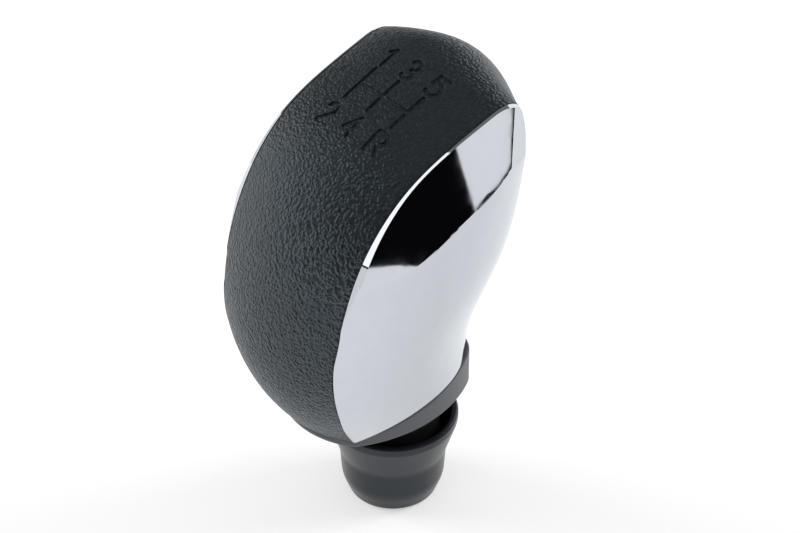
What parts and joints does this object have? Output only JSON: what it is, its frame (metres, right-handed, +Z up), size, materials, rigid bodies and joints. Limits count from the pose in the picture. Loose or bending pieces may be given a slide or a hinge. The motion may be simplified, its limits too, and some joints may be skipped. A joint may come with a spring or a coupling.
{
  "type": "gear shift knob",
  "caption": "Hooked gear shift knob with a black grained skin, chrome side cheeks, a sunk shift pattern, a satin wedge collar and a black gaiter sleeve round a lever bore.",
  "frame": {"origin": "centre of the lever bore's mouth, level with the foot of the gaiter sleeve", "axes": "+Z up along the lever axis, +Y to the front of the car, +X to its right side"},
  "size_m": [0.0422, 0.0562, 0.1013],
  "materials": {
    "skin": "fine leather grain",
    "plating": "mirror",
    "collar": "satin",
    "sleeve": "gloss",
    "carrier": "as moulded",
    "bush": "as moulded"
  },
  "bodies": {
    "root": {"grip_skin": "skin", "right_cheek": "plating", "left_cheek": "plating", "collar_ring": "collar", "gaiter_sleeve": "sleeve", "core": "carrier", "lever_bush": "bush"}
  },
  "joints": []
}
